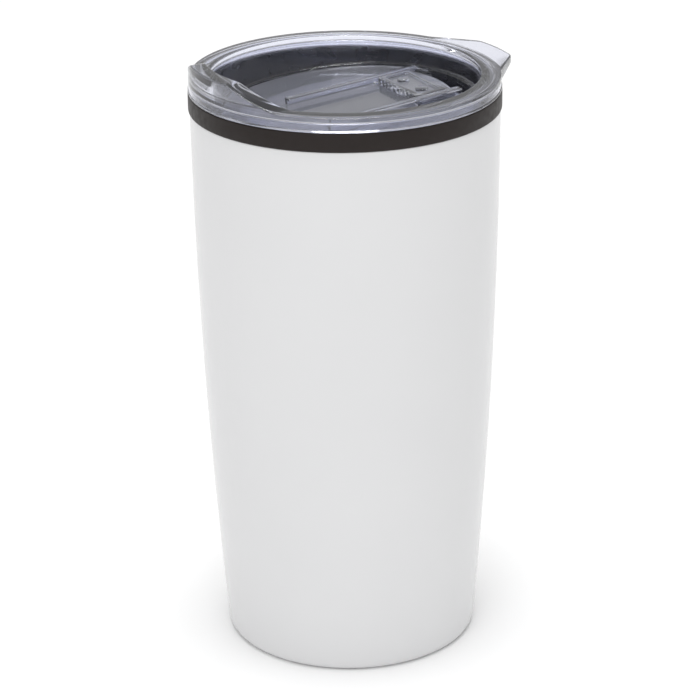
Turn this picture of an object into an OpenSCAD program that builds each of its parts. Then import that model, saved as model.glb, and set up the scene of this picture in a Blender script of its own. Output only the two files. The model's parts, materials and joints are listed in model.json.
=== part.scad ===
// Double-walled tumbler with a clear push-on slide lid.
// Millimetres, +Z up. The origin is the centre of the foot, on the surface the tumbler stands on.
// +X points towards the lid's tab and drinking slot, -X towards its raised lip.

/* [Outer shell] */
// Height of the shell from the ground to the underside of the neck collar
body_height = 161.1; // [120:1:230]
// Radius the side would have at ground level
foot_radius = 36.75; // [34:0.25:40]
// Radius of the shell just under the neck collar
shoulder_radius = 44; // [41:0.25:56]
// How full the side is between foot and shoulder (0 is a straight cone)
side_fullness = 0.92; // [0:0.02:1]
// Thickness of the shell's steel
shell_wall = 0.5; // [0.4:0.1:1]
// Radius of the rounded corner where the side meets the foot
foot_round = 3; // [2:0.25:6]
// Width of the flat ring the shell stands on, inside that corner
foot_ring = 1.8; // [1:0.1:4]
// Height of the recess under the base
base_recess = 3; // [2:0.25:6]
// Height of the drawn-in neck that the collar covers
neck_height = 3.4; // [2:0.1:6]

/* [Base] */
// Thickness of the base plate's steel
plate_wall = 0.6; // [0.4:0.1:1.5]
// Width of the down-turned edge that the base plate is welded by
plate_flange = 1.4; // [1:0.1:2.5]
// Gap between the base plate's edge and the shell's hem
weld_gap = 0.05; // [0.02:0.01:0.2]

/* [Liner] */
// Wall of the moulded inner liner
liner_wall = 1.5; // [1.2:0.1:2.5]
// Depth of the straight mouth that the lid's plug slides into
mouth_depth = 18; // [15:0.5:30]
// Inside radius of the liner just above its floor
liner_floor_radius = 32; // [24:0.5:34]
// Inside corner radius at the liner's floor
liner_floor_round = 6; // [3:0.5:10]
// Air space between the liner's floor and the base plate
floor_air = 4; // [2:0.5:12]
// Gap between the liner's neck and the shell's neck
neck_gap = 0.1; // [0.05:0.05:0.3]

/* [Collar] */
// Height of the collar band
collar_height = 5.44; // [4:0.1:12]
// How far the collar stands proud of the shell
collar_proud = 0.45; // [0:0.05:2]
// Thickness of the collar's skirt
collar_skirt = 1.45; // [1:0.05:2.5]
// Thickness of the collar's top web
collar_web = 1.6; // [1:0.1:2]
// Fit of the collar's skirt over the neck
collar_fit = 0.05; // [0.02:0.01:0.2]
// Height of the seal ring at the top of the air space
gap_seal_height = 3; // [2:0.25:5]
// Gap that the seal ring keeps to the shoulder above it
gap_seal_clear = 0.6; // [0.3:0.1:1]

/* [Lid] */
// Height of the lid's rim above the collar
lid_rise = 4.18; // [3:0.1:10]
// How deep the lid's plug reaches below the collar's top
plug_depth = 14.5; // [14:0.25:17]
// Radial gap between the plug and the liner's mouth
plug_clearance = 0.55; // [0.4:0.05:1]
// Thickness of the lid's walls
lid_wall = 1.9; // [1.5:0.1:3]
// How far the lid's rim sits in from the collar's edge
rim_inset = 0.25; // [0.25:0.05:2]
// Height of the thin flange that sits on the collar
flange_height = 0.7; // [0.5:0.1:1.5]
// How far that flange stands out from the rim
flange_out = 0.2; // [0.1:0.05:0.25]
// Gap between the flange and the collar when the lid is home
seat_gap = 0.05; // [0.02:0.01:0.2]
// Height of the raised lip above the rim
lip_rise = 5.65; // [3:0.25:10]
// Half width of the raised lip along its top
lip_half_top = 11.2; // [8:0.5:16]
// Half width of the raised lip where it runs out into the rim
lip_half_base = 26.2; // [20:0.5:32]
// Thickness of the raised lip
lip_wall = 4.6; // [2.5:0.1:5]
// How far the tab stands out from the rim
tab_reach = 6.2; // [4:0.2:12]
// Half angle of the tab's tip
tab_tip_angle = 10; // [6:1:16]
// Half angle of the tab's root
tab_root_angle = 27; // [20:1:34]
// Thickness of the tab at its tip
tab_tip = 2.3; // [1.5:0.1:3]

/* [Deck] */
// Depth of the deck below the rim, at the lid's centre
deck_depth = 10.37; // [9:0.25:12]
// Slope of the deck, rising towards the tab
deck_slope = 4.57; // [0:0.25:5]
// Thickness of the deck
deck_wall = 1.8; // [1.4:0.1:2.4]
// Ledge between the drinking slot and the wall
slot_ledge = 1.2; // [0.8:0.1:2]
// Length of the drinking slot along the travel
slot_length = 6.2; // [4:0.1:6.2]
// Half width of the drinking slot
slot_half = 11.8; // [8:0.25:13]
// Distance between the wall and the breather hole
vent_inset = 8.4; // [5:0.2:14]
// Radius of the breather hole
vent_radius = 1; // [0.75:0.25:1.5]
// Distance behind the lid's centre that the guide rails start at
rail_back = 12; // [4:1:20]
// Distance that they end short of the drinking slot
rail_short = 0.5; // [0.2:0.1:2]
// Thickness of the guide rails
rail_wall = 1.4; // [1:0.1:2]
// Thickness of the rails' overhanging lips
rail_lip = 0.7; // [0.5:0.1:1]

/* [Slider] */
// Distance the slider travels between open and shut
slider_travel = 6.8; // [6.6:0.1:8]
// Length of the slider along its middle
slider_length = 13.4; // [12:0.2:20]
// Half width of the slider's plate
slider_half = 12.3; // [12:0.1:13]
// Thickness of the slider's plate
slider_wall = 1.1; // [0.8:0.1:1.6]
// Gap between the slider and the deck under it
slider_gap = 0.1; // [0.05:0.05:0.3]
// Gap between the slider and its rails, at the sides and the top
rail_gap = 0.3; // [0.2:0.05:0.6]
// Gap between the shut slider and the wall
nose_gap = 0.8; // [0.4:0.05:1]
// Length of the thumb grip along the travel
grip_length = 9.4; // [7:0.2:11]
// Half width of the thumb grip
grip_half = 10.9; // [9:0.1:11]
// Height of the thumb grip above the plate
grip_height = 1.1; // [0.8:0.1:2]
// Depth of the hollow in the thumb grip
grip_hollow = 0.7; // [0.4:0.1:1]
// Width of the wall round that hollow
grip_wall = 1.3; // [1:0.1:2]
// Number of ribs on the grip's back edge
grip_ribs = 11; // [5:1:15]
// Distance from the grip's back edge to its two round studs
stud_offset = 4.7; // [4:0.1:6]
// Half the distance between the studs
stud_half = 5.3; // [4:0.1:7]
// Radius of the studs
stud_radius = 1.8; // [1:0.1:2]
// Length and height of the snap bumps that stop the open slider
stop_length = 1; // [0.6:0.1:1.5]
stop_height = 0.6; // [0.4:0.1:0.9]

/* [Seal] */
// Height of the groove that the lid seal sits in
groove_height = 4; // [3:0.25:6]
// Depth of that groove
groove_depth = 0.9; // [0.5:0.1:1.2]
// Height of the lid's wall below the groove
groove_above_end = 1.2; // [1:0.1:2]
// Gap between the seal's lips and the liner's mouth
seal_gap = 0.05; // [0.02:0.01:0.1]
// Height of each of the seal's two lips
lip_height = 0.9; // [0.6:0.1:1.2]

/* [Hidden] */
$fn = 96;

side_steps = 20;
arc_steps = 8;
overlap = 0.4;
far = 200;

// Heights
collar_top = body_height + collar_height;
rim_top = collar_top + lid_rise;
flange_bottom = collar_top + seat_gap;
flange_top = flange_bottom + flange_height;
web_z = rim_top - lid_wall;
plug_bottom = collar_top - plug_depth;
mouth_bottom = collar_top - mouth_depth;
deck_z = rim_top - deck_depth;
neck_top = body_height + neck_height;
plate_top = base_recess;
liner_bottom = plate_top + floor_air;
seal_top = body_height - gap_seal_clear - shell_wall;

// Radii
collar_outer = shoulder_radius + collar_proud;
neck_outer = collar_outer - collar_skirt - collar_fit;
neck_inner = neck_outer - shell_wall;
liner_neck_outer = neck_inner - neck_gap;
mouth_radius = liner_neck_outer - liner_wall;
plug_outer = mouth_radius - plug_clearance;
recess_radius = plug_outer - lid_wall;
rim_outer = collar_outer - rim_inset;
channel_outer = rim_outer - lid_wall;
lip_inner = rim_outer - lip_wall;
tab_tip_radius = rim_outer + tab_reach;
slot_radius = recess_radius - slot_ledge;
slot_edge = slot_radius - slot_length;
vent_offset = recess_radius - vent_inset;
foot_centre = side_radius(foot_round) - foot_round;
hem_radius = foot_centre - foot_ring;
plate_radius = hem_radius - shell_wall - weld_gap;
pad_radius = plate_radius - plate_wall - weld_gap;
seal_seat = plug_outer - groove_depth;
seal_lip = mouth_radius - seal_gap;

// Slider layout, measured along the sloping deck
nose_radius = recess_radius - nose_gap;
slider_front = nose_radius - slider_travel;
slider_back = slider_front - slider_length;
plate_height = slider_gap + slider_wall;
rail_inner = slider_half + rail_gap;
rail_outer = rail_inner + rail_wall;
rail_lip_inner = grip_half + rail_gap;
rail_lip_z = plate_height + rail_gap;

// Radius of the shell's side at height z: a parabola between foot and shoulder
function side_radius(z) =
    let (t = z / body_height)
    foot_radius + (shoulder_radius - foot_radius) * (t + side_fullness * t * (1 - t));

// Points of the side from height z0 to z1, moved in by inset
function side_points(z0, z1, inset) =
    [for (i = [0:side_steps]) let (z = z0 + (z1 - z0) * i / side_steps) [side_radius(z) - inset, z]];

// Points of an arc in the profile plane
function arc_points(cx, cz, r, a0, a1) =
    [for (i = [0:arc_steps]) let (a = a0 + (a1 - a0) * i / arc_steps) [cx + r * cos(a), cz + r * sin(a)]];

// A ring of rectangular section between two radii and two heights
module ring(r_in, r_out, z0, z1) {
    translate([0, 0, z0])
        difference() {
            cylinder(r = r_out, h = z1 - z0);
            translate([0, 0, -1])
                cylinder(r = r_in, h = z1 - z0 + 2);
        }
}

// Puts its children on the sloping deck: x runs up the slope, z is normal to it
module on_deck() {
    translate([0, 0, deck_z])
        rotate([0, -deck_slope, 0])
            children();
}

// Drawn steel outer wall: neck, shoulder, curved side, rounded foot and turned-up hem
module outer_shell() {
    shoulder_in = body_height - shell_wall;
    outside = concat(
        [[neck_outer, neck_top], [neck_outer, body_height], [side_radius(body_height), body_height]],
        [for (i = [side_steps:-1:0]) side_points(foot_round, shoulder_in, 0)[i]],
        arc_points(foot_centre, foot_round, foot_round, 0, -90),
        [[hem_radius - shell_wall, 0], [hem_radius - shell_wall, base_recess]]
    );
    inside = concat(
        [[hem_radius, base_recess], [hem_radius, shell_wall]],
        [for (i = [arc_steps:-1:0])
            arc_points(foot_centre, foot_round, foot_round - shell_wall, 0, -90)[i]],
        side_points(foot_round, shoulder_in, shell_wall),
        [[neck_inner, shoulder_in], [neck_inner, neck_top]]
    );
    color("white")
        rotate_extrude()
            polygon(concat(outside, inside));
}

// Pressed steel disc with a down-turned edge, welded inside the shell's hem
module base_plate() {
    color("silver")
        difference() {
            translate([0, 0, plate_top - plate_flange - plate_wall])
                cylinder(r = plate_radius, h = plate_flange + plate_wall);
            translate([0, 0, -1])
                cylinder(r = plate_radius - plate_wall, h = plate_top - plate_wall + 1);
        }
}

// Non-slip pad bonded under the base plate, level with the foot
module foot_pad() {
    color("dimgray")
        cylinder(r = pad_radius, h = plate_top - plate_wall - weld_gap);
}

// Moulded inner cup: straight mouth, tapering wall and rounded floor
module inner_liner() {
    floor_z = liner_bottom + liner_wall;
    outer_floor = liner_floor_radius + liner_wall;
    outside = concat(
        [[0, liner_bottom]],
        arc_points(outer_floor - liner_floor_round, liner_bottom + liner_floor_round,
            liner_floor_round, -90, 0),
        [[liner_neck_outer, mouth_bottom], [liner_neck_outer, collar_top]]
    );
    inner_round = liner_floor_round - liner_wall;
    inside = concat(
        [[mouth_radius, collar_top], [mouth_radius, mouth_bottom]],
        arc_points(liner_floor_radius - inner_round, floor_z + inner_round, inner_round, 0, -90),
        [[0, floor_z]]
    );
    color([0.13, 0.12, 0.12])
        rotate_extrude()
            polygon(concat(outside, inside));
}

// Silicone ring that closes the top of the air space, just under the shoulder
module air_gap_seal() {
    color("gray")
        ring(liner_neck_outer, side_radius(seal_top - gap_seal_height) - shell_wall - neck_gap,
            seal_top - gap_seal_height, seal_top);
}

// Black band that covers the neck and carries the lid
module neck_collar() {
    web_bottom = collar_top - collar_web;
    color([0.17, 0.16, 0.15])
        union() {
            ring(neck_outer + collar_fit, collar_outer, body_height, collar_top);
            ring(liner_neck_outer, neck_outer + collar_fit + overlap, max(web_bottom, neck_top), collar_top);
        }
}

// Outline of the tab, seen from above
module tab_outline() {
    polygon(concat(
        [channel_outer * [cos(tab_root_angle), -sin(tab_root_angle)],
         rim_outer * [cos(tab_root_angle), -sin(tab_root_angle)]],
        [for (i = [-2:2]) let (a = tab_tip_angle * i / 2) tab_tip_radius * [cos(a), sin(a)]],
        [rim_outer * [cos(tab_root_angle), sin(tab_root_angle)],
         channel_outer * [cos(tab_root_angle), sin(tab_root_angle)]]
    ));
}

// Tab: flat on top, its underside falling from the tip to the flange
module rim_tab() {
    intersection() {
        linear_extrude(height = far * 2)
            tab_outline();
        rotate_extrude()
            polygon([
                [channel_outer, rim_top], [tab_tip_radius + 1, rim_top],
                [tab_tip_radius + 1, rim_top - tab_tip], [tab_tip_radius, rim_top - tab_tip],
                [rim_outer, flange_top], [channel_outer, flange_top]
            ]);
    }
}

// Raised lip: a wall that stands on the rim and slopes down at both ends
module raised_lip() {
    intersection() {
        ring(lip_inner, rim_outer, web_z, rim_top + lip_rise);
        translate([-far, 0, 0])
            rotate([90, 0, 90])
                linear_extrude(height = far)
                    polygon([
                        [-lip_half_base, web_z], [lip_half_base, web_z], [lip_half_base, rim_top],
                        [lip_half_top, rim_top + lip_rise], [-lip_half_top, rim_top + lip_rise],
                        [-lip_half_base, rim_top]
                    ]);
    }
}

// Wall of the lid: plug with its seal groove, then the rim folded over the collar
module lid_wall_ring() {
    groove_bottom = plug_bottom + groove_above_end;
    groove_top = groove_bottom + groove_height;
    flange_outer = rim_outer + flange_out;
    rotate_extrude()
        polygon([
            [recess_radius, plug_bottom], [plug_outer, plug_bottom],
            [plug_outer, groove_bottom], [seal_seat, groove_bottom],
            [seal_seat, groove_top], [plug_outer, groove_top],
            [plug_outer, web_z], [channel_outer, web_z],
            [channel_outer, flange_bottom], [flange_outer, flange_bottom],
            [flange_outer, flange_top], [rim_outer, flange_top],
            [rim_outer, rim_top], [recess_radius, rim_top]
        ]);
}

// Guide rails with overhanging lips, and the snap bumps behind the open slider
module rails() {
    rail_length = rail_back + slot_edge - rail_short;
    rail_top = rail_lip_z + rail_lip;
    on_deck()
        for (side = [0, 1])
            mirror([0, side, 0])
                union() {
                    translate([-rail_back, rail_inner, -overlap])
                        cube([rail_length, rail_wall, rail_top + overlap]);
                    translate([-rail_back, rail_lip_inner, rail_lip_z])
                        cube([rail_length, rail_outer - rail_lip_inner, rail_lip]);
                    translate([slider_back - rail_gap - stop_length, rail_lip_inner, -overlap])
                        cube([stop_length, rail_outer - rail_lip_inner, stop_height + overlap]);
                }
}

// Clear one-piece lid: wall, sloping deck, rails, drinking slot, breather hole, tab and raised lip
module lid_body() {
    color([0.85, 0.88, 0.95, 0.4])
        difference() {
            union() {
                lid_wall_ring();
                intersection() {
                    cylinder(r = recess_radius + overlap, h = far * 2);
                    on_deck()
                        translate([-far, -far, -deck_wall])
                            cube([2 * far, 2 * far, deck_wall]);
                }
                rails();
                rim_tab();
                raised_lip();
            }
            intersection() {
                cylinder(r = slot_radius, h = far * 2);
                on_deck()
                    translate([slot_edge, -slot_half, -deck_wall - 1])
                        cube([far, 2 * slot_half, far]);
            }
            on_deck()
                translate([-vent_offset, 0, -deck_wall - 1])
                    cylinder(r = vent_radius, h = deck_wall + 2);
        }
}

// Silicone ring with two lips, stretched into the plug's groove
module lid_seal() {
    z0 = plug_bottom + groove_above_end;
    z1 = z0 + groove_height;
    land = (groove_height - 2 * lip_height) / 3;
    color([0.9, 0.9, 0.9])
        rotate_extrude()
            polygon([
                [seal_seat, z0], [plug_outer, z0], [plug_outer, z0 + land],
                [seal_lip, z0 + land + lip_height / 2], [plug_outer, z0 + land + lip_height],
                [plug_outer, z1 - land - lip_height], [seal_lip, z1 - land - lip_height / 2],
                [plug_outer, z1 - land], [plug_outer, z1], [seal_seat, z1]
            ]);
}

// Half-round ribs along the back edge of the thumb grip
module grip_rib_row() {
    pitch = 2 * grip_half / grip_ribs;
    for (i = [0:grip_ribs - 1])
        translate([slider_back, (i + 0.5) * pitch - grip_half, slider_gap])
            cylinder(r = pitch * 0.36, h = slider_wall + grip_height);
}

// Clear slider: a plate with a curved nose that runs under the rails' lips, and a hollow thumb grip
module slider() {
    grip_top = plate_height + grip_height;
    hollow_z = grip_top - grip_hollow;
    color([0.8, 0.85, 0.95, 0.45])
        on_deck()
            union() {
                intersection() {
                    translate([-slider_travel, 0, slider_gap])
                        cylinder(r = nose_radius, h = slider_wall);
                    translate([slider_back, -slider_half, slider_gap])
                        cube([far, 2 * slider_half, slider_wall]);
                }
                difference() {
                    union() {
                        translate([slider_back, -grip_half, plate_height - overlap])
                            cube([grip_length, 2 * grip_half, grip_height + overlap]);
                        grip_rib_row();
                    }
                    translate([slider_back + grip_wall, -grip_half + grip_wall, hollow_z])
                        cube([grip_length - 2 * grip_wall, 2 * (grip_half - grip_wall), far]);
                }
                for (side = [-1, 1])
                    translate([slider_back + stud_offset, side * stud_half, hollow_z - overlap / 2])
                        cylinder(r = stud_radius, h = grip_hollow + overlap / 2);
            }
}

outer_shell();
base_plate();
foot_pad();
inner_liner();
air_gap_seal();
neck_collar();
lid_body();
lid_seal();
slider();
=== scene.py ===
import json
import math

import bmesh
import bpy
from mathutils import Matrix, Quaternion, Vector


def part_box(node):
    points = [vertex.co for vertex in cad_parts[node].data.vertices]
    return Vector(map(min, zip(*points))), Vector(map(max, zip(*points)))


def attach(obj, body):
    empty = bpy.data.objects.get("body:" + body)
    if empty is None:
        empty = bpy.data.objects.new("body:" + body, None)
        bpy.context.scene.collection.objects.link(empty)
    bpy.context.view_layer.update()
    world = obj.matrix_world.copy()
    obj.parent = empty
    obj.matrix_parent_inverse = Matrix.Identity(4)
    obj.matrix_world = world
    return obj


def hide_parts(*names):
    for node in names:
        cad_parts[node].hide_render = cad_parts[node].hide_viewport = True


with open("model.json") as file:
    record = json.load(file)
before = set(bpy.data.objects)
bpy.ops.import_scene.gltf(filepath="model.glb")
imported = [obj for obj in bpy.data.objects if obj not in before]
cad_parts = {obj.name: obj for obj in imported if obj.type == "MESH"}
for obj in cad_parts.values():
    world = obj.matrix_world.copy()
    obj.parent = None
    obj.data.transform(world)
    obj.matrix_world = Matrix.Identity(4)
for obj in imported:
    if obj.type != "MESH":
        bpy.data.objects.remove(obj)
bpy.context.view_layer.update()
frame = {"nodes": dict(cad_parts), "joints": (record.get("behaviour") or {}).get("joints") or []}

MM = 0.001


# ---------------------------------------------------------------------------
# Camera. It looks down on the tumbler from the side, so that the lid's tab
# points away to the right and its raised lip comes towards the left.
# ---------------------------------------------------------------------------
collar_low, collar_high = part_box("neck_collar")
body_height = collar_low.z
turn, drop, roll = math.radians(-28.2), math.radians(22.29), math.radians(-0.73)
aim = Vector((0, 0, body_height / 2))
back = Vector((math.sin(turn) * math.cos(drop), -math.cos(turn) * math.cos(drop), math.sin(drop)))
camera = bpy.data.objects.new("camera", bpy.data.cameras.new("camera"))
camera.data.sensor_width = 36
camera.data.lens = 145.85
camera.data.clip_start = 0.05
distance, tip, swing = 0.833, math.radians(0.366), math.radians(-0.03)
camera.location = aim + back * distance
camera.rotation_mode = "QUATERNION"
camera.rotation_quaternion = (
    (-back).to_track_quat("-Z", "Y")
    @ Quaternion((0, 0, 1), roll)
    @ Quaternion((1, 0, 0), tip)
    @ Quaternion((0, 1, 0), swing)
)
bpy.context.scene.collection.objects.link(camera)
bpy.context.scene.camera = camera


# ---------------------------------------------------------------------------
# Studio. A wide white floor under an even white sky, a soft sun straight
# overhead that blows the floor out, a big soft panel in front that models the
# round body, and a weaker one from the right.
# ---------------------------------------------------------------------------
def plain_material(name, colour, roughness):
    """A Principled material with one colour and one roughness, and its shader node."""
    material = bpy.data.materials.new(name)
    material.use_nodes = True
    shader = material.node_tree.nodes["Principled BSDF"]
    shader.inputs["Base Color"].default_value = (*colour, 1)
    shader.inputs["Roughness"].default_value = roughness
    return material, shader


def soft_panel(name, place, size, power):
    """A square soft light at a place, facing the tumbler's middle."""
    lamp = bpy.data.lights.new(name, "AREA")
    lamp.shape = "SQUARE"
    lamp.size = size
    lamp.energy = power
    panel = bpy.data.objects.new(name, lamp)
    panel.location = place
    panel.rotation_mode = "QUATERNION"
    panel.rotation_quaternion = (aim - Vector(place)).to_track_quat("-Z", "Y")
    bpy.context.scene.collection.objects.link(panel)


floor_half = 6.0
floor_mesh = bpy.data.meshes.new("floor")
floor_mesh.from_pydata(
    [(-floor_half, -floor_half, 0), (floor_half, -floor_half, 0),
     (floor_half, floor_half, 0), (-floor_half, floor_half, 0)],
    [], [(0, 1, 2, 3)],
)
floor = bpy.data.objects.new("floor", floor_mesh)
floor_mesh.materials.append(plain_material("pale_floor", (0.945, 0.945, 0.945), 0.6)[0])
bpy.context.scene.collection.objects.link(floor)

world = bpy.data.worlds.new("white_studio")
world.use_nodes = True
world.node_tree.nodes["Background"].inputs["Color"].default_value = (1, 1, 1, 1)
world.node_tree.nodes["Background"].inputs["Strength"].default_value = 0.58
bpy.context.scene.world = world
overhead = bpy.data.lights.new("overhead_sun", "SUN")
overhead.energy = 1.6
overhead.angle = math.radians(25)
overhead_sun = bpy.data.objects.new("overhead_sun", overhead)
bpy.context.scene.collection.objects.link(overhead_sun)
soft_panel("right_panel", (0.9, -0.9, 1.1), 0.8, 0.6)
soft_panel("front_panel", (-0.68, -0.86, 0.95), 0.9, 4.5)
bpy.context.scene.view_settings.view_transform = "Standard"


# ---------------------------------------------------------------------------
# Outer shell. Drawn stainless steel with a gloss white baked coat. It is one
# thin wall from the drawn-in neck down a full side to the rounded foot and
# the turned-up hem; the coat has a faint orange peel.
# ---------------------------------------------------------------------------
def link_mesh(name, mesh):
    """A new object that shows this mesh."""
    piece = bpy.data.objects.new(name, mesh)
    bpy.context.scene.collection.objects.link(piece)
    return piece


def eased(corners, steps=4, loop=False):
    """Points of an outline whose corners (x, y, ease) are rounded from ease before to ease after."""
    points = []
    count = len(corners)
    for i, (x, y, ease) in enumerate(corners):
        at = Vector((x, y))
        if ease <= 0 or (not loop and i in (0, count - 1)):
            points.append((x, y))
            continue
        before = Vector(corners[i - 1][:2]) - at
        after = Vector(corners[(i + 1) % count][:2]) - at
        start = at + before.normalized() * min(ease, before.length * 0.45)
        end = at + after.normalized() * min(ease, after.length * 0.45)
        for k in range(steps + 1):
            t = k / steps
            p = start * (1 - t) ** 2 + at * 2 * t * (1 - t) + end * t ** 2
            points.append((p.x, p.y))
    return points


sharp_edge = math.radians(38)


def turned(name, outline_at, steps=160, loop=True):
    """A mesh turned about Z from the (radius, height) points that outline_at gives for an angle.

    A loop is a ring's closed section; otherwise the outline starts and ends on the axis.
    """
    bm = bmesh.new()
    rings = []
    for i in range(steps):
        angle = 2 * math.pi * i / steps
        outline = outline_at(angle)
        if not rings:
            rings = [[] for _ in outline]
        for ring, (r, z) in zip(rings, outline):
            if r < 1e-9:
                if not ring:
                    ring.append(bm.verts.new((0, 0, z)))
            else:
                ring.append(bm.verts.new((r * math.cos(angle), r * math.sin(angle), z)))
    pairs = list(zip(rings, rings[1:] + rings[:1]))
    for inner, outer in pairs if loop else pairs[:-1]:
        for i in range(steps):
            j = (i + 1) % steps
            corners = ((inner, i), (outer, i), (outer, j), (inner, j))
            around = [ring[k % len(ring)] for ring, k in corners]
            bm.faces.new(list(dict.fromkeys(around)))
    bmesh.ops.recalc_face_normals(bm, faces=bm.faces)
    mesh = bpy.data.meshes.new(name)
    bm.to_mesh(mesh)
    bm.free()
    mesh.shade_smooth()
    mesh.set_sharp_from_angle(angle=sharp_edge)
    return link_mesh(name, mesh)


def input_socket(tree, name, kind, value):
    """Adds a named input with a default value to a node group."""
    socket = tree.interface.new_socket(name, in_out="INPUT", socket_type=kind)
    if value is not None:
        socket.default_value = value
    return socket


def math_node(tree, operation, a, b=None):
    """The output of a Math node on two values, each a number or a socket."""
    node = tree.nodes.new("ShaderNodeMath")
    node.operation = operation
    for slot, value in enumerate((a, b)):
        if value is None:
            continue
        if isinstance(value, bpy.types.NodeSocket):
            tree.links.new(value, node.inputs[slot])
        else:
            node.inputs[slot].default_value = value
    return node.outputs[0]


def settle_nodes(piece, tree):
    """Runs a node group on a piece, keeps the result as its plain mesh and drops the modifier."""
    modifier = piece.modifiers.new(tree.name, "NODES")
    modifier.node_group = tree
    evaluated = piece.evaluated_get(bpy.context.evaluated_depsgraph_get())
    mesh = bpy.data.meshes.new_from_object(evaluated)
    piece.modifiers.remove(modifier)
    piece.data = mesh


def full_side_tree(material, foot_radius, shoulder_radius, fullness):
    """Node group that moves a straight tube of shoulder_radius in to the shell's full side."""
    tree = bpy.data.node_groups.new("full_side", "GeometryNodeTree")
    input_socket(tree, "Geometry", "NodeSocketGeometry", None)
    input_socket(tree, "Height", "NodeSocketFloat", body_height)
    input_socket(tree, "Foot Radius", "NodeSocketFloat", foot_radius)
    input_socket(tree, "Shoulder Radius", "NodeSocketFloat", shoulder_radius)
    input_socket(tree, "Fullness", "NodeSocketFloat", fullness)
    tree.interface.new_socket("Geometry", in_out="OUTPUT", socket_type="NodeSocketGeometry")
    sizes = tree.nodes.new("NodeGroupInput").outputs
    position = tree.nodes.new("GeometryNodeInputPosition").outputs[0]
    parts = tree.nodes.new("ShaderNodeSeparateXYZ")
    tree.links.new(position, parts.inputs[0])
    flat = tree.nodes.new("ShaderNodeCombineXYZ")
    tree.links.new(parts.outputs["X"], flat.inputs["X"])
    tree.links.new(parts.outputs["Y"], flat.inputs["Y"])
    outward = tree.nodes.new("ShaderNodeVectorMath")
    outward.operation = "NORMALIZE"
    tree.links.new(flat.outputs[0], outward.inputs[0])
    share = math_node(tree, "MINIMUM", math_node(tree, "DIVIDE", parts.outputs["Z"], sizes["Height"]), 1.0)
    rest = math_node(tree, "SUBTRACT", 1.0, share)
    bulge = math_node(tree, "MULTIPLY", math_node(tree, "MULTIPLY", share, rest), sizes["Fullness"])
    along = math_node(tree, "ADD", share, bulge)
    spread = math_node(tree, "SUBTRACT", sizes["Shoulder Radius"], sizes["Foot Radius"])
    shift = math_node(tree, "MULTIPLY", math_node(tree, "SUBTRACT", along, 1.0), spread)
    offset = tree.nodes.new("ShaderNodeVectorMath")
    offset.operation = "SCALE"
    tree.links.new(outward.outputs[0], offset.inputs[0])
    tree.links.new(shift, offset.inputs["Scale"])
    moved = tree.nodes.new("GeometryNodeSetPosition")
    tree.links.new(sizes["Geometry"], moved.inputs["Geometry"])
    tree.links.new(offset.outputs[0], moved.inputs["Offset"])
    realized = tree.nodes.new("GeometryNodeRealizeInstances")
    tree.links.new(moved.outputs[0], realized.inputs[0])
    painted = tree.nodes.new("GeometryNodeSetMaterial")
    painted.inputs["Material"].default_value = material
    tree.links.new(realized.outputs[0], painted.inputs["Geometry"])
    result = tree.nodes.new("NodeGroupOutput")
    tree.links.new(painted.outputs[0], result.inputs[0])
    return tree


def noise(tree, scale, detail=2.0):
    """A Noise node on the piece's own coordinates, in features per metre."""
    place = tree.nodes.new("ShaderNodeTexCoord")
    grain = tree.nodes.new("ShaderNodeTexNoise")
    grain.inputs["Scale"].default_value = scale
    grain.inputs["Detail"].default_value = detail
    tree.links.new(place.outputs["Object"], grain.inputs["Vector"])
    return grain.outputs["Fac"]


def spread_value(tree, source, low, high):
    """Maps a 0 to 1 pattern onto the range low to high."""
    ramp = tree.nodes.new("ShaderNodeMapRange")
    ramp.inputs["From Min"].default_value = 0.3
    ramp.inputs["From Max"].default_value = 0.7
    ramp.inputs["To Min"].default_value = low
    ramp.inputs["To Max"].default_value = high
    tree.links.new(source, ramp.inputs["Value"])
    return ramp.outputs["Result"]


def relief(tree, shader, source, height, strength=1.0):
    """Raises a shader's surface by height metres where the pattern is high."""
    bump = tree.nodes.new("ShaderNodeBump")
    bump.inputs["Distance"].default_value = height
    bump.inputs["Strength"].default_value = strength
    tree.links.new(source, bump.inputs["Height"])
    tree.links.new(bump.outputs["Normal"], shader.inputs["Normal"])


def tone(tree, shader, source, dark, light):
    """Colours a shader between two colours by a pattern."""
    mix = tree.nodes.new("ShaderNodeMix")
    mix.data_type = "RGBA"
    mix.inputs["A"].default_value = (*dark, 1)
    mix.inputs["B"].default_value = (*light, 1)
    tree.links.new(source, mix.inputs["Factor"])
    tree.links.new(mix.outputs["Result"], shader.inputs["Base Color"])


def white_coat():
    """Gloss white baked coat: faint orange peel, a trace of unevenness in colour and gloss."""
    material, shader = plain_material("white_coat", (0.715, 0.716, 0.722), 0.2)
    tree = material.node_tree
    shader.inputs["Specular IOR Level"].default_value = 0.3
    shader.inputs["Coat Weight"].default_value = 0.06
    shader.inputs["Coat Roughness"].default_value = 0.06
    tone(tree, shader, noise(tree, 35), (0.703, 0.704, 0.711), (0.727, 0.728, 0.734))
    tree.links.new(spread_value(tree, noise(tree, 160), 0.19, 0.27), shader.inputs["Roughness"])
    relief(tree, shader, noise(tree, 520, 3), 0.012 * MM, 0.6)
    return material


def stand_for(piece, node, body, material=None):
    """The piece takes the place of a CAD node on its body, in that material slot."""
    if material:
        piece.data.materials.clear()
        piece.data.materials.append(material)
    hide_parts(node)
    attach(piece, body)


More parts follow.
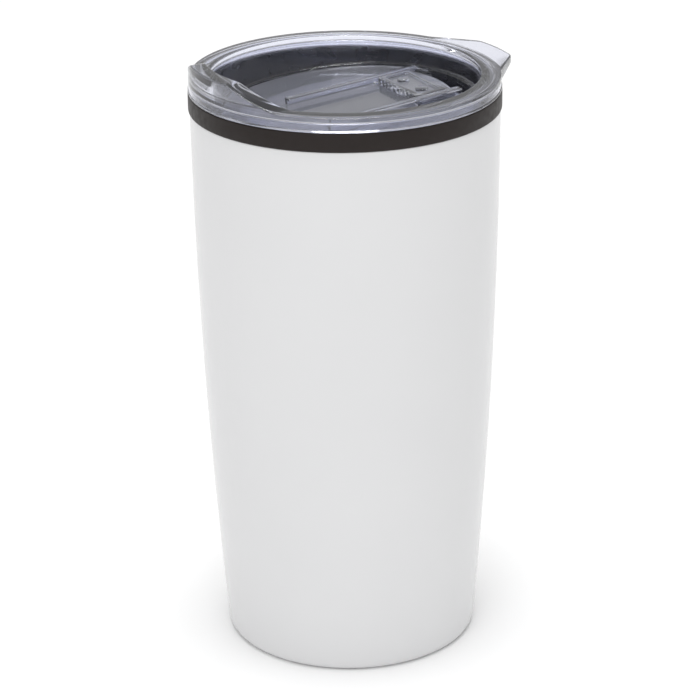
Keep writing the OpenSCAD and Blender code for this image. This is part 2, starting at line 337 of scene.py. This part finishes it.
shell_wall = 0.5 * MM
shoulder_radius = 44 * MM
foot_radius = 36.75 * MM
neck_radius = 42.95 * MM
shell_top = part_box("outer_shell")[1].z
foot_round = 3 * MM
foot_ring = 1.8 * MM
hem_height = 3 * MM
side_rings = 48
ring_gap = (body_height - foot_round * 3) / side_rings
shell_in = shoulder_radius - shell_wall
hem_outer = shoulder_radius - foot_round - foot_ring
outer_side = [(shoulder_radius, body_height - 1.5 * MM - i * ring_gap, 0) for i in range(side_rings + 1)]
inner_side = [(shell_in, z, 0) for _, z, _ in reversed(outer_side)]
shell_corners = (
    [(neck_radius, shell_top, 0.1 * MM), (neck_radius, body_height + 0.2 * MM, 0.15 * MM),
     (shoulder_radius, body_height, 0.35 * MM)]
    + outer_side
    + [(shoulder_radius, 0, foot_round), (hem_outer, 0, 0.25 * MM), (hem_outer, hem_height, 0.1 * MM),
       (hem_outer + shell_wall, hem_height, 0.1 * MM), (hem_outer + shell_wall, shell_wall, 0.2 * MM),
       (shell_in, shell_wall, foot_round - shell_wall)]
    + inner_side
    + [(shell_in, body_height - shell_wall, 0.3 * MM),
       (neck_radius - shell_wall, body_height - shell_wall, 0.2 * MM),
       (neck_radius - shell_wall, shell_top, 0.1 * MM)]
)
shell_outline = eased(shell_corners, steps=8, loop=True)
outer_shell = turned("outer_shell_coated", lambda angle: shell_outline, steps=256)
coat = white_coat()
settle_nodes(outer_shell, full_side_tree(coat, foot_radius, shoulder_radius, 0.92))
stand_for(outer_shell, "outer_shell", "body", coat)


# ---------------------------------------------------------------------------
# Base plate. A stainless disc pressed with a down-turned edge and welded into
# the hem; it is left bare, with the fine rings of its spinning.
# ---------------------------------------------------------------------------
def ring_pattern(tree, scale):
    """A 0 to 1 pattern of fine rings about the Z axis, in rings per metre."""
    place = tree.nodes.new("ShaderNodeTexCoord")
    parts = tree.nodes.new("ShaderNodeSeparateXYZ")
    tree.links.new(place.outputs["Object"], parts.inputs[0])
    across = math_node(tree, "POWER", parts.outputs["X"], 2.0)
    along = math_node(tree, "POWER", parts.outputs["Y"], 2.0)
    radius = math_node(tree, "SQRT", math_node(tree, "ADD", across, along))
    line = tree.nodes.new("ShaderNodeTexNoise")
    line.noise_dimensions = "1D"
    line.inputs["Scale"].default_value = scale
    line.inputs["Detail"].default_value = 3
    tree.links.new(radius, line.inputs["W"])
    return line.outputs["Fac"]


def spun_steel():
    """Bare stainless steel with fine spinning rings."""
    material, shader = plain_material("spun_steel", (0.6, 0.6, 0.59), 0.3)
    tree = material.node_tree
    shader.inputs["Metallic"].default_value = 1
    rings = ring_pattern(tree, 2600)
    tone(tree, shader, rings, (0.52, 0.52, 0.51), (0.66, 0.66, 0.65))
    tree.links.new(spread_value(tree, rings, 0.22, 0.4), shader.inputs["Roughness"])
    relief(tree, shader, rings, 0.01 * MM)
    return material


plate_low, plate_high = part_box("base_plate")
plate_radius = plate_high.x
plate_wall = 0.6 * MM
base_plate = turned("base_plate_spun", lambda angle: eased([
    (0, plate_high.z, 0), (plate_radius * 0.6, plate_high.z, 0), (plate_radius, plate_high.z, 0.4 * MM),
    (plate_radius, plate_low.z, 0.15 * MM), (plate_radius - plate_wall, plate_low.z, 0.15 * MM),
    (plate_radius - plate_wall, plate_high.z - plate_wall, 0.3 * MM),
    (plate_radius * 0.6, plate_high.z - plate_wall, 0), (0, plate_high.z - plate_wall, 0),
]), loop=False)
stand_for(base_plate, "base_plate", "body", spun_steel())


# ---------------------------------------------------------------------------
# Foot pad. A thin dark rubber disc bonded under the base plate, moulded with
# raised rings that grip the table.
# ---------------------------------------------------------------------------
def pad_rubber():
    """Matte rubber with a fine grain and a little dust."""
    material, shader = plain_material("pad_rubber", (0.045, 0.045, 0.046), 0.75)
    tree = material.node_tree
    tone(tree, shader, noise(tree, 240, 4), (0.035, 0.035, 0.036), (0.062, 0.061, 0.06))
    tree.links.new(spread_value(tree, noise(tree, 900), 0.68, 0.85), shader.inputs["Roughness"])
    relief(tree, shader, noise(tree, 2600, 3), 0.03 * MM)
    return material


pad_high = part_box("foot_pad")[1]
pad_radius = pad_high.x
pad_rings = 4
ring_width = 3 * MM
groove = 0.5 * MM
draft = 0.2 * MM
pad_outline = [(0, pad_high.z, 0), (pad_radius, pad_high.z, 0.2 * MM), (pad_radius, 0, 0.4 * MM)]
for ring in range(pad_rings):
    ring_edge = pad_radius - (1 + 2 * ring) * ring_width
    pad_outline += [(ring_edge, 0, 0.3 * MM), (ring_edge - draft, groove, 0.2 * MM),
                    (ring_edge - ring_width, groove, 0.2 * MM),
                    (ring_edge - ring_width - draft, 0, 0.3 * MM)]
foot_pad = turned("foot_pad_ringed", lambda angle: eased(pad_outline + [(0, 0, 0)]), loop=False)
stand_for(foot_pad, "foot_pad", "body", pad_rubber())


# ---------------------------------------------------------------------------
# Inner liner. A black injection-moulded polypropylene cup: a straight mouth
# for the lid's plug, a tapering wall and a rounded floor.
# ---------------------------------------------------------------------------
def liner_black():
    """Moulded black plastic, half gloss, with faint flow marks."""
    material, shader = plain_material("liner_black", (0.012, 0.012, 0.014), 0.3)
    tree = material.node_tree
    tone(tree, shader, noise(tree, 60, 3), (0.009, 0.009, 0.011), (0.016, 0.016, 0.018))
    tree.links.new(spread_value(tree, noise(tree, 220), 0.24, 0.38), shader.inputs["Roughness"])
    relief(tree, shader, noise(tree, 1800), 0.006 * MM)
    return material


liner_low, liner_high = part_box("inner_liner")
liner_outer = liner_high.x
liner_wall = 1.5 * MM
mouth_radius = liner_outer - liner_wall
mouth_bottom = liner_high.z - 18 * MM
liner_floor = 32 * MM
liner_inside = liner_low.z + liner_wall
inner_liner = turned("inner_liner_moulded", lambda angle: eased([
    (0, liner_low.z, 0), (liner_floor * 0.5, liner_low.z, 0),
    (liner_floor + liner_wall, liner_low.z, 6 * MM),
    (liner_outer, mouth_bottom, 2 * MM), (liner_outer, liner_high.z, 0.15 * MM),
    (mouth_radius, liner_high.z, 0.5 * MM), (mouth_radius, mouth_bottom, 2 * MM),
    (liner_floor, liner_inside, 5 * MM), (liner_floor * 0.5, liner_inside, 0), (0, liner_inside, 0),
], steps=8), loop=False, steps=192)
stand_for(inner_liner, "inner_liner", "body", liner_black())


# ---------------------------------------------------------------------------
# Air gap seal. A soft grey silicone ring, squeezed between the liner and the
# shell under the shoulder; it closes the top of the air space.
# ---------------------------------------------------------------------------
def silicone(name, colour, transmission):
    """Soft silicone: satin, a little light passes through it, and it has a fine dusty grain."""
    material, shader = plain_material(name, colour, 0.45)
    tree = material.node_tree
    shader.inputs["Transmission Weight"].default_value = transmission
    tree.links.new(spread_value(tree, noise(tree, 700), 0.38, 0.55), shader.inputs["Roughness"])
    relief(tree, shader, noise(tree, 2200), 0.008 * MM)
    return material


air_gap_seal = frame["nodes"]["air_gap_seal"]
air_gap_seal.data.materials.clear()
air_gap_seal.data.materials.append(silicone("grey_silicone", (0.42, 0.42, 0.41), 0.0))


# ---------------------------------------------------------------------------
# Neck collar. The dark band: satin warm black plastic with a fine moulded
# grain, pushed over the shell's neck and welded to the liner.
# ---------------------------------------------------------------------------
def collar_black():
    """Satin warm black plastic with a spark-eroded grain."""
    material, shader = plain_material("collar_black", (0.014, 0.012, 0.011), 0.5)
    tree = material.node_tree
    shader.inputs["Specular IOR Level"].default_value = 0.25
    tone(tree, shader, noise(tree, 90, 3), (0.0125, 0.0084, 0.0074), (0.0165, 0.0115, 0.01))
    tree.links.new(spread_value(tree, noise(tree, 500), 0.42, 0.55), shader.inputs["Roughness"])
    relief(tree, shader, noise(tree, 3200, 3), 0.012 * MM)
    return material


collar_outer = collar_high.x
collar_top = collar_high.z
skirt_inner = 43 * MM
web_bottom = shell_top + 0.34 * MM
neck_collar = turned("neck_collar_band", lambda angle: eased([
    (skirt_inner, body_height, 0.12 * MM), (collar_outer, body_height, 0.45 * MM),
    (collar_outer, collar_top, 0.55 * MM), (liner_outer + 0.02 * MM, collar_top, 0.12 * MM),
    (liner_outer + 0.02 * MM, web_bottom, 0.12 * MM), (skirt_inner, web_bottom, 0.2 * MM),
], loop=True), steps=256)
stand_for(neck_collar, "neck_collar", "body", collar_black())


# ---------------------------------------------------------------------------
# Lid body. One clear moulding: a rim folded over the collar, a plug wall that
# goes into the mouth, a deck that rises towards the tab, two lipped guide
# rails, the drinking slot, a breather hole, the tab and the raised lip.
# ---------------------------------------------------------------------------
def clear_plastic(name, tint, haze):
    """Clear moulded plastic: a light haze, faint flow waves on its skin, small changes in gloss."""
    material, shader = plain_material(name, tint, 0.02)
    tree = material.node_tree
    shader.inputs["Transmission Weight"].default_value = 1 - haze
    shader.inputs["IOR"].default_value = 1.53
    tree.links.new(spread_value(tree, noise(tree, 180), 0.01, 0.05), shader.inputs["Roughness"])
    relief(tree, shader, noise(tree, 90), 0.02 * MM, 0.5)
    return material


lid_low, lid_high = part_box("lid_body")
lid_wall = 1.9 * MM
rim_outer = 44.2 * MM
rim_top = collar_top + 4.18 * MM
flange_bottom = collar_top + 0.05 * MM
flange_top = flange_bottom + 0.7 * MM
flange_radius = rim_outer + 0.2 * MM
plug_outer = mouth_radius - 0.55 * MM
recess_radius = plug_outer - lid_wall
plug_bottom = lid_low.z
groove_low = plug_bottom + 1.2 * MM
groove_high = groove_low + 4 * MM
groove_radius = plug_outer - 0.9 * MM
deck_z = rim_top - 10.37 * MM
deck_slope = math.radians(4.57)
deck_wall = 1.8 * MM
lip_inner = rim_outer - 4.6 * MM
lip_rise = lid_high.z - rim_top
half_top, half_base = 11.2 * MM, 26.2 * MM
tab_radius = lid_high.x
tab_tip_angle, tab_root_angle = math.radians(10), math.radians(27)
tab_tip = 2.3 * MM


def lip_height(x, y):
    """How far the raised lip stands above the rim at a place, with its four knees softened."""
    if x > 0:
        return 0.0
    total = 0.0
    for k in range(-3, 4):
        total += min(1, max(0, (half_base - abs(y) + k * 0.4 * MM) / (half_base - half_top)))
    return lip_rise * total / 7


def tab_edge(angle):
    """Distance from the axis to the rim's outer edge, out to the tab's tip."""
    a = abs((angle + math.pi) % (2 * math.pi) - math.pi)
    if a >= tab_root_angle:
        return rim_outer
    if a <= tab_tip_angle:
        return tab_radius
    root = Vector((math.cos(tab_root_angle), math.sin(tab_root_angle))) * rim_outer
    tip = Vector((math.cos(tab_tip_angle), math.sin(tab_tip_angle))) * tab_radius
    side = tip - root
    return (root.x * side.y - root.y * side.x) / (math.cos(a) * side.y - math.sin(a) * side.x)


def soft_tab_edge(angle):
    """The rim's outer edge with the tab's corners rounded."""
    window = [math.radians(0.3) * k for k in range(-3, 4)]
    return sum(tab_edge(angle + step) for step in window) / len(window)


def lid_outline(angle):
    """The lid's section at an angle, from the deck's top round the rim and plug to the deck's underside."""
    x, y = math.cos(angle), math.sin(angle)
    climb = math.tan(deck_slope) * x
    edge = soft_tab_edge(angle)
    inner_top = lip_inner + 0.1 * MM
    inner_rise = lip_height(x, inner_top * y)
    outer_rise = lip_height(x, rim_outer * y)
    share = (edge - rim_outer) / (tab_radius - rim_outer)
    underside = flange_top + 0.1 * MM + share * (rim_top - tab_tip - flange_top)
    spokes = [recess_radius * part for part in (0.3, 0.6, 0.85)]
    top = [(0, deck_z, 0)] + [(r, deck_z + climb * r, 0) for r in spokes]
    below = [(r, deck_z + climb * r - deck_wall, 0) for r in reversed(spokes)] + [(0, deck_z - deck_wall, 0)]
    return eased(top + [
        (recess_radius, deck_z + climb * recess_radius, 0.8 * MM),
        (recess_radius, rim_top, 0.5 * MM),
        (lip_inner, rim_top, 0.3 * MM),
        (inner_top, rim_top + inner_rise, 0.3 * MM),
        (edge, rim_top + outer_rise, 0.5 * MM),
        (edge, underside, 0.3 * MM),
        (rim_outer, flange_top, 0.1 * MM),
        (flange_radius, flange_top, 0.25 * MM),
        (flange_radius, flange_bottom, 0.2 * MM),
        (rim_outer - lid_wall, flange_bottom, 0.2 * MM),
        (rim_outer - lid_wall, rim_top - lid_wall, 0.5 * MM),
        (plug_outer, rim_top - lid_wall, 0.5 * MM),
        (plug_outer, groove_high, 0.1 * MM),
        (groove_radius, groove_high, 0.1 * MM),
        (groove_radius, groove_low, 0.1 * MM),
        (plug_outer, groove_low, 0.1 * MM),
        (plug_outer, plug_bottom, 0.4 * MM),
        (recess_radius, plug_bottom, 0.4 * MM),
        (recess_radius, deck_z + climb * recess_radius - deck_wall, 0.8 * MM),
    ] + below)


def on_deck(x, y, z):
    """A place on the sloping deck: x runs up the slope, z stands off its surface."""
    return Vector((
        x * math.cos(deck_slope) - z * math.sin(deck_slope), y,
        deck_z + x * math.sin(deck_slope) + z * math.cos(deck_slope),
    ))


def outset(outline, by):
    """A closed, anticlockwise outline moved out by a distance."""
    moved = []
    for i, (x, y) in enumerate(outline):
        ahead = Vector(outline[(i + 1) % len(outline)]) - Vector((x, y))
        behind = Vector((x, y)) - Vector(outline[i - 1])
        normal = Vector((ahead.y, -ahead.x)).normalized() + Vector((behind.y, -behind.x)).normalized()
        normal /= max(normal.length_squared / 2, 0.5)
        moved.append((x + normal.x * by, y + normal.y * by))
    return moved


def deck_slab(name, outline, levels):
    """A solid on the deck from rings of an outline: each level is (height, how far the ring moves out)."""
    bm = bmesh.new()
    rings = [[bm.verts.new(on_deck(x, y, z)) for x, y in outset(outline, by)] for z, by in levels]
    count = len(outline)
    for low, high in zip(rings, rings[1:]):
        for i in range(count):
            j = (i + 1) % count
            bm.faces.new((low[i], low[j], high[j], high[i]))
    bm.faces.new(list(reversed(rings[0])))
    bm.faces.new(rings[-1])
    bmesh.ops.recalc_face_normals(bm, faces=bm.faces)
    mesh = bpy.data.meshes.new(name)
    bm.to_mesh(mesh)
    bm.free()
    return link_mesh(name, mesh)


def rounded_levels(low, high, ease):
    """Levels of a slab whose top and bottom edges are rounded."""
    turns = [math.radians(a) for a in (0, 30, 60, 90)]
    bottom = [(low + ease * (1 - math.cos(a)), -ease * (1 - math.sin(a))) for a in turns]
    top = [(high - ease * (1 - math.sin(a)), -ease * (1 - math.cos(a))) for a in turns]
    return bottom + top


def oblong(x0, x1, y0, y1, ease):
    """Anticlockwise outline of a rectangle with rounded corners."""
    return eased([(x0, y0, ease), (x1, y0, ease), (x1, y1, ease), (x0, y1, ease)], loop=True)


def disc(x, y, radius, steps=32):
    """Anticlockwise outline of a circle."""
    turns = [2 * math.pi * i / steps for i in range(steps)]
    return [(x + radius * math.cos(a), y + radius * math.sin(a)) for a in turns]


def combine(piece, others, operation):
    """Joins solids to a piece or cuts them out of it, and removes them."""
    for other in others:
        step = piece.modifiers.new(other.name, "BOOLEAN")
        step.operation = operation
        step.solver = "MANIFOLD"
        step.object = other
    mesh = bpy.data.meshes.new_from_object(piece.evaluated_get(bpy.context.evaluated_depsgraph_get()))
    piece.modifiers.clear()
    piece.data = mesh
    for other in others:
        bpy.data.objects.remove(other)
    mesh.shade_smooth()
    mesh.set_sharp_from_angle(angle=sharp_edge)


def cut_levels(edge):
    """Levels of a cutter that goes right through the deck and softens the hole's upper and lower edges."""
    return [(-4 * MM, edge), (-deck_wall - edge * 0.2, edge), (-deck_wall + edge, 0), (-edge, 0),
            (edge * 0.2, edge), (1 * MM, edge)]


slot_radius, slot_half = recess_radius - 1.2 * MM, 11.8 * MM
slot_edge = slot_radius - 6.2 * MM
travel = next(joint for joint in frame["joints"] if joint["name"] == "slider_slide")["range_m"][1]
slider_gap, slider_wall, slider_half = 0.1 * MM, 1.1 * MM, 12.3 * MM
plate_top = slider_gap + slider_wall
nose_radius = recess_radius - 0.8 * MM
slider_back = nose_radius - travel - 13.4 * MM
grip_half = 10.9 * MM
rail_gap, rail_wall, rail_lip = 0.3 * MM, 1.4 * MM, 0.7 * MM
rail_inner = slider_half + rail_gap
rail_outer = rail_inner + rail_wall
lip_edge = grip_half + rail_gap
lip_z = plate_top + rail_gap
rail_start, rail_end = -12 * MM, slot_edge - 0.5 * MM
vent_offset, vent_radius = recess_radius - 8.4 * MM, 1 * MM
stop_length, stop_height = 1 * MM, 0.6 * MM


def raised_slab(name, outline, high, ease, foot=-0.5 * MM):
    """A slab whose foot is sunk in the piece it stands on and whose top edge is rounded."""
    return deck_slab(name, outline, [(foot, 0)] + rounded_levels(foot, high, ease)[4:])


def each_side(x0, x1, y0, y1, ease):
    """The rounded rectangle and its mirror image across the lid's middle."""
    return oblong(x0, x1, y0, y1, ease), oblong(x0, x1, -y1, -y0, ease)


lid_body = turned("lid_body_clear", lid_outline, steps=480, loop=False)
hair = 0.02 * MM
raised = []
for outline in each_side(rail_start + hair, rail_end - hair, rail_inner, rail_outer - hair, 0.3 * MM):
    raised.append(raised_slab("rail", outline, lip_z + rail_lip / 2, 0.1 * MM))
for outline in each_side(rail_start, rail_end, lip_edge, rail_outer, 0.3 * MM):
    raised.append(deck_slab("rail_lip", outline, rounded_levels(lip_z, lip_z + rail_lip, 0.2 * MM)))
stop_end = slider_back - rail_gap
for outline in each_side(stop_end - stop_length, stop_end, lip_edge + hair, rail_outer - 2 * hair, 0.2 * MM):
    raised.append(raised_slab("snap_bump", outline, stop_height, 0.2 * MM))
combine(lid_body, raised, "UNION")
arc_half = math.asin(slot_half / slot_radius)
arc = [(slot_radius * math.cos(a), slot_radius * math.sin(a), 0)
       for a in [arc_half * 0.9 * (k / 8 - 1) for k in range(17)]]
slot_corners = [(slot_edge, slot_half, 1.2 * MM), (slot_edge, -slot_half, 1.2 * MM),
                (slot_radius * math.cos(arc_half), -slot_half, 0.6 * MM)] + arc + [
                (slot_radius * math.cos(arc_half), slot_half, 0.6 * MM)]
cutters = [deck_slab("drinking_slot", eased(slot_corners, loop=True), cut_levels(0.3 * MM))]
cutters.append(deck_slab("breather", disc(-vent_offset, 0, vent_radius), cut_levels(0.2 * MM)))
combine(lid_body, cutters, "DIFFERENCE")
lid_clear = clear_plastic("lid_clear", (0.855, 0.87, 0.965), 0.02)
deck_frosted = clear_plastic("deck_frosted", (0.875, 0.89, 0.935), 0.29)
lid_body.data.materials.clear()
lid_body.data.materials.append(lid_clear)
lid_body.data.materials.append(deck_frosted)
frost_radius, frost_depth = recess_radius - 0.5 * MM, 0.15 * MM
for face in lid_body.data.polygons:
    x, y, z = face.center
    under_deck = abs(z - deck_z - x * math.tan(deck_slope) + deck_wall) < frost_depth
    face.material_index = int(under_deck and math.hypot(x, y) < frost_radius and x < slot_edge)
stand_for(lid_body, "lid_body", "lid")


# ---------------------------------------------------------------------------
# Lid seal. A translucent silicone ring stretched into the plug's groove, with
# two thin lips that press on the liner's mouth.
# ---------------------------------------------------------------------------
seal_low, seal_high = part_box("lid_seal")
lip = 0.9 * MM
land = (seal_high.z - seal_low.z - 2 * lip) / 3
lip_radius = seal_high.x
seal_corners = [(groove_radius + 0.02 * MM, seal_low.z, 0.1 * MM), (plug_outer, seal_low.z, 0.15 * MM)]
for ridge_z in (seal_low.z + land, seal_high.z - land - lip):
    seal_corners += [(plug_outer, ridge_z, 0.1 * MM), (lip_radius, ridge_z + lip / 2, 0.1 * MM),
                     (plug_outer, ridge_z + lip, 0.1 * MM)]
seal_corners += [(plug_outer, seal_high.z, 0.15 * MM), (groove_radius + 0.02 * MM, seal_high.z, 0.1 * MM)]
lid_seal = turned("lid_seal_ring", lambda angle: eased(seal_corners, loop=True), steps=192)
stand_for(lid_seal, "lid_seal", "lid", silicone("clear_silicone", (0.82, 0.82, 0.8), 0.3))


# ---------------------------------------------------------------------------
# Slider. A clear plate with a curved nose that shuts the drinking slot; its
# two side edges run under the rails' lips. The thumb grip is a low hollow box
# with a row of ribs along its back edge and two round studs inside.
# ---------------------------------------------------------------------------
def rib_row_tree(material, count, pitch, radius, height):
    """Node group that stands a row of round ribs along Y."""
    tree = bpy.data.node_groups.new("rib_row", "GeometryNodeTree")
    input_socket(tree, "Geometry", "NodeSocketGeometry", None)
    input_socket(tree, "Count", "NodeSocketInt", count)
    input_socket(tree, "Pitch", "NodeSocketFloat", pitch)
    input_socket(tree, "Radius", "NodeSocketFloat", radius)
    input_socket(tree, "Height", "NodeSocketFloat", height)
    tree.interface.new_socket("Geometry", in_out="OUTPUT", socket_type="NodeSocketGeometry")
    sizes = tree.nodes.new("NodeGroupInput").outputs
    start = tree.nodes.new("ShaderNodeCombineXYZ")
    last = math_node(tree, "SUBTRACT", sizes["Count"], 1.0)
    tree.links.new(math_node(tree, "MULTIPLY", math_node(tree, "MULTIPLY", last, sizes["Pitch"]), -0.5),
                   start.inputs["Y"])
    step = tree.nodes.new("ShaderNodeCombineXYZ")
    tree.links.new(sizes["Pitch"], step.inputs["Y"])
    line = tree.nodes.new("GeometryNodeMeshLine")
    tree.links.new(sizes["Count"], line.inputs["Count"])
    tree.links.new(start.outputs[0], line.inputs["Start Location"])
    tree.links.new(step.outputs[0], line.inputs["Offset"])
    rib = tree.nodes.new("GeometryNodeMeshCylinder")
    rib.inputs["Vertices"].default_value = 20
    tree.links.new(sizes["Radius"], rib.inputs["Radius"])
    tree.links.new(sizes["Height"], rib.inputs["Depth"])
    row = tree.nodes.new("GeometryNodeInstanceOnPoints")
    tree.links.new(line.outputs[0], row.inputs["Points"])
    tree.links.new(rib.outputs["Mesh"], row.inputs["Instance"])
    realized = tree.nodes.new("GeometryNodeRealizeInstances")
    tree.links.new(row.outputs[0], realized.inputs[0])
    painted = tree.nodes.new("GeometryNodeSetMaterial")
    painted.inputs["Material"].default_value = material
    tree.links.new(realized.outputs[0], painted.inputs["Geometry"])
    result = tree.nodes.new("NodeGroupOutput")
    tree.links.new(painted.outputs[0], result.inputs[0])
    return tree


slider_clear = clear_plastic("slider_clear", (0.9, 0.915, 0.975), 0.05)
nose_angle = math.asin(slider_half / nose_radius)
nose = [(nose_radius * math.cos(a) - travel, nose_radius * math.sin(a), 0)
        for a in [nose_angle * 0.93 * (k / 10 - 1) for k in range(21)]]
plate_corners = [(slider_back, slider_half, 0.5 * MM), (slider_back, -slider_half, 0.5 * MM),
                 (nose_radius * math.cos(nose_angle) - travel, -slider_half, 0.7 * MM)] + nose + [
                 (nose_radius * math.cos(nose_angle) - travel, slider_half, 0.7 * MM)]
slider = deck_slab("slider_clear_plate", eased(plate_corners, loop=True),
                   rounded_levels(slider_gap, plate_top, 0.25 * MM))
grip_length, grip_height = 9.4 * MM, 1.1 * MM
grip_end = slider_back + grip_length
grip_top = plate_top + grip_height
grip = raised_slab("grip", oblong(slider_back + hair, grip_end, -grip_half, grip_half, 0.6 * MM),
                   grip_top, 0.3 * MM, plate_top - 0.5 * MM)
rib_count = 11
rib_pitch = 2 * grip_half / rib_count
rib_height = grip_top - slider_gap - 0.1 * MM
ribs = link_mesh("ribs", bpy.data.meshes.new("ribs"))
settle_nodes(ribs, rib_row_tree(slider_clear, rib_count, rib_pitch, rib_pitch * 0.36, rib_height))
for point in ribs.data.vertices:
    point.co = on_deck(point.co.x + slider_back, point.co.y, point.co.z + (slider_gap + grip_top) / 2)
combine(slider, [grip, ribs], "UNION")
hollow_wall, hollow = 1.3 * MM, 0.7 * MM
hollow_floor = grip_top - hollow
pocket = deck_slab("pocket", oblong(slider_back + hollow_wall, grip_end - hollow_wall,
                                    -grip_half + hollow_wall, grip_half - hollow_wall, 0.6 * MM),
                   [(hollow_floor, -0.15 * MM), (hollow_floor + 0.12 * MM, 0), (grip_top - 0.15 * MM, 0),
                    (grip_top + 0.05 * MM, 0.2 * MM), (grip_top + 1 * MM, 0.2 * MM)])
combine(slider, [pocket], "DIFFERENCE")
stud_place, stud_half, stud_radius = slider_back + 4.7 * MM, 5.3 * MM, 1.8 * MM
studs = [
    raised_slab(f"stud_{side}", disc(stud_place, side * stud_half, stud_radius, 40),
                grip_top, 0.25 * MM, hollow_floor - 0.2 * MM)
    for side in (-1, 1)
]
combine(slider, studs, "UNION")
stand_for(slider, "slider", "slide_closure", slider_clear)
